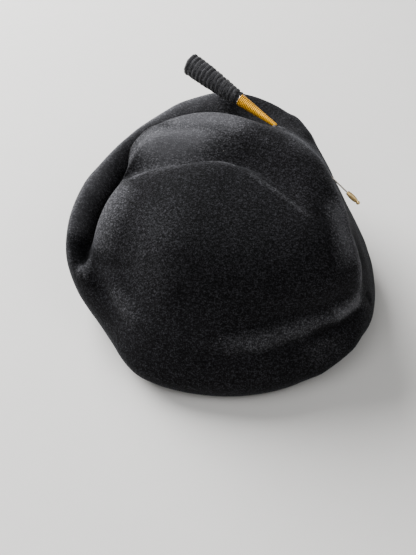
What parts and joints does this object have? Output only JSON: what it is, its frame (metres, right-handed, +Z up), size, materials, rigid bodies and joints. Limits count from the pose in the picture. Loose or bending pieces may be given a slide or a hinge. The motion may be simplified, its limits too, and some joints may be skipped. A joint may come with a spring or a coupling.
{
  "type": "tilt hat",
  "caption": "Draped black velour felt tilt hat with a folded crown, a standing front roll and a hat pin that has a cord-wound grip and a gold cone.",
  "frame": {"origin": "middle of the object's box in plan, on the plane that the hat's edge lies on", "axes": "+Z up, +X to the wearer's right, +Y to the front"},
  "size_m": [0.2382, 0.2306, 0.1361],
  "materials": {
    "black_velour": "brushed velour nap, matt, paler on the ridges",
    "black_cord": "wound cord, matt",
    "gold_wire": "fine wound wire, satin gold",
    "pale_steel": "polished",
    "gilt": "polished gilt"
  },
  "bodies": {
    "root": {"felt_body": "black_velour", "pin_grip": "black_cord", "pin_cone": "gold_wire", "pin_wire": "pale_steel", "pin_cap": "gilt"}
  },
  "joints": []
}
